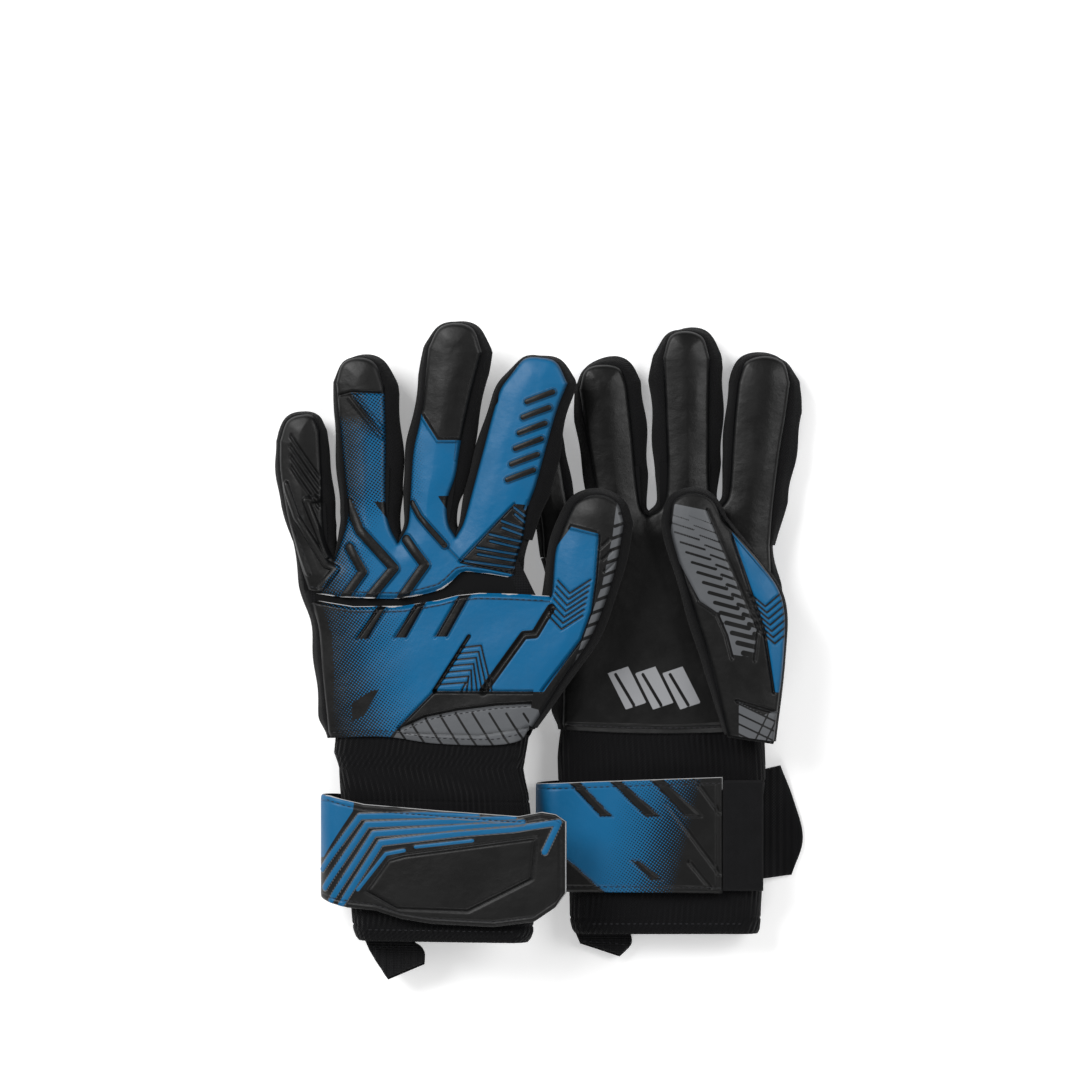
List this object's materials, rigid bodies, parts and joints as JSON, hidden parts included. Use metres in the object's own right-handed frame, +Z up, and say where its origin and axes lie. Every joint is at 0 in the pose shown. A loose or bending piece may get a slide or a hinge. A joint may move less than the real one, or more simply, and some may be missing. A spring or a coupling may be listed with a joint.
{
  "type": "goalkeeper gloves",
  "caption": "Pair of latex goalkeeper gloves lying flat, with curling fingers, wrist straps and pull tabs.",
  "frame": {"origin": "centre of the pair's outline on the surface that the gloves lie on", "axes": "+Z up off the surface, +Y towards the fingertips, +X from the left glove to the right glove"},
  "size_m": [0.2326, 0.2882, 0.0465],
  "materials": {
    "palm_latex": "smooth dull latex",
    "back_latex": "embossed satin latex",
    "grip_print": "matt printed latex",
    "strap_print": "printed satin latex",
    "cuff_knit": "rib knit",
    "elastic": "woven elastic",
    "touch_tape": "hook and loop tape",
    "webbing": "woven webbing",
    "lining": "brushed jersey",
    "gusset_fabric": "smooth knit"
  },
  "bodies": {
    "left_hand": {"left_palm": "palm_latex", "left_palm_lining": "lining", "left_back_upper": "back_latex", "left_back_punch": "back_latex", "left_back_lining": "lining", "left_side_gusset": "gusset_fabric", "left_heel_patch": "grip_print", "left_thumb_root": "back_latex", "left_wrist_band": "cuff_knit", "left_cuff": "cuff_knit", "left_loop_pad": "touch_tape", "left_strap_anchor": "elastic"},
    "left_strap": {"left_strap_band": "strap_print", "left_hook_patch": "touch_tape"},
    "left_tab": {"left_pull_tab": "webbing"},
    "left_little": {"left_little_face": "palm_latex", "left_little_back": "back_latex", "left_little_gusset": "gusset_fabric"},
    "left_ring": {"left_ring_face": "palm_latex", "left_ring_back": "back_latex", "left_ring_gusset": "gusset_fabric"},
    "left_middle": {"left_middle_face": "palm_latex", "left_middle_back": "back_latex", "left_middle_gusset": "gusset_fabric"},
    "left_index": {"left_index_face": "palm_latex", "left_index_back": "back_latex", "left_index_gusset": "gusset_fabric"},
    "left_thumb": {"left_thumb_face": "palm_latex", "left_thumb_back": "back_latex", "left_thumb_gusset": "gusset_fabric"},
    "right_hand": {"right_palm": "palm_latex", "right_palm_lining": "lining", "right_back_upper": "back_latex", "right_back_punch": "back_latex", "right_back_lining": "lining", "right_side_gusset": "gusset_fabric", "right_heel_patch": "grip_print", "right_thumb_root": "back_latex", "right_wrist_band": "cuff_knit", "right_cuff": "cuff_knit", "right_loop_pad": "touch_tape", "right_strap_anchor": "elastic"},
    "right_strap": {"right_strap_band": "strap_print", "right_hook_patch": "touch_tape"},
    "right_tab": {"right_pull_tab": "webbing"},
    "right_little": {"right_little_face": "palm_latex", "right_little_back": "back_latex", "right_little_gusset": "gusset_fabric"},
    "right_ring": {"right_ring_face": "palm_latex", "right_ring_back": "back_latex", "right_ring_gusset": "gusset_fabric"},
    "right_middle": {"right_middle_face": "palm_latex", "right_middle_back": "back_latex", "right_middle_gusset": "gusset_fabric"},
    "right_index": {"right_index_face": "palm_latex", "right_index_back": "back_latex", "right_index_gusset": "gusset_fabric"},
    "right_thumb": {"right_thumb_face": "palm_latex", "right_thumb_back": "back_latex", "right_thumb_gusset": "gusset_fabric"}
  },
  "joints": [
    {"name": "pair_slide", "type": "slide", "parent": "right_hand", "child": "left_hand", "axis": [-1, 0, 0], "range_m": [0, 0.06]},
    {"name": "left_little_curl", "type": "hinge", "parent": "left_hand", "child": "left_little", "pos_m": [-0.09831, 0.0659, 0.0029], "axis": [-0.9818, -0.0839, -0.1703], "range_deg": [0, 80], "stiffness_Nm_per_rad": 0.15},
    {"name": "left_ring_curl", "type": "hinge", "parent": "left_hand", "child": "left_ring", "pos_m": [-0.0735, 0.082, 0.0072], "axis": [-0.9853, 0, -0.1709], "range_deg": [0, 60], "stiffness_Nm_per_rad": 0.15},
    {"name": "left_middle_curl", "type": "hinge", "parent": "left_hand", "child": "left_middle", "pos_m": [-0.0426, 0.08766, 0.01256], "axis": [-0.9776, 0.1245, -0.1696], "range_deg": [0, 80], "stiffness_Nm_per_rad": 0.15},
    {"name": "left_index_curl", "type": "hinge", "parent": "left_hand", "child": "left_index", "pos_m": [-0.01397, 0.0803, 0.03732], "axis": [-0.9434, 0.2883, -0.1637], "range_deg": [-30, 0], "stiffness_Nm_per_rad": 0.15},
    {"name": "left_thumb_lift", "type": "hinge", "parent": "left_hand", "child": "left_thumb", "pos_m": [0.01126, 0.01208, 0.0417], "axis": [0.9607, -0.222, 0.1667], "range_deg": [0, 35], "stiffness_Nm_per_rad": 0.15},
    {"name": "left_strap_peel", "type": "hinge", "parent": "left_hand", "child": "left_strap", "pos_m": [-0.09659, -0.09, 0.01563], "axis": [0, -1, 0], "range_deg": [0, 110]},
    {"name": "left_tab_swing", "type": "hinge", "parent": "left_hand", "child": "left_tab", "pos_m": [-0.06792, -0.1263, 0.01365], "axis": [-0.9853, 0, -0.1709], "range_deg": [0, 90]},
    {"name": "right_little_curl", "type": "hinge", "parent": "right_hand", "child": "right_little", "pos_m": [0.00992, 0.0487, 0], "axis": [0.9769, 0.2135, 0], "range_deg": [-30, 0], "stiffness_Nm_per_rad": 0.15},
    {"name": "right_ring_curl", "type": "hinge", "parent": "right_hand", "child": "right_ring", "pos_m": [0.0338, 0.08188, 0.0195], "axis": [0.9971, 0.0763, 0], "range_deg": [0, 55], "stiffness_Nm_per_rad": 0.15},
    {"name": "right_middle_curl", "type": "hinge", "parent": "right_hand", "child": "right_middle", "pos_m": [0.06407, 0.084, 0.0195], "axis": [0.9999, -0.0142, 0], "range_deg": [0, 55], "stiffness_Nm_per_rad": 0.15},
    {"name": "right_index_curl", "type": "hinge", "parent": "right_hand", "child": "right_index", "pos_m": [0.09493, 0.08363, 0.0195], "axis": [0.9907, -0.1357, 0], "range_deg": [0, 55], "stiffness_Nm_per_rad": 0.15},
    {"name": "right_thumb_lift", "type": "hinge", "parent": "right_hand", "child": "right_thumb", "pos_m": [0.08609, 0.01523, 0.037], "axis": [0.9517, 0.307, 0], "range_deg": [0, 50], "stiffness_Nm_per_rad": 0.15},
    {"name": "right_strap_peel", "type": "hinge", "parent": "right_hand", "child": "right_strap", "pos_m": [-0.002, -0.083, 0.01225], "axis": [0, -1, 0], "range_deg": [0, 40]},
    {"name": "right_tab_swing", "type": "hinge", "parent": "right_hand", "child": "right_tab", "pos_m": [0.028, -0.1243, 0.0054], "axis": [-1, 0, 0], "range_deg": [0, 90]}
  ]
}
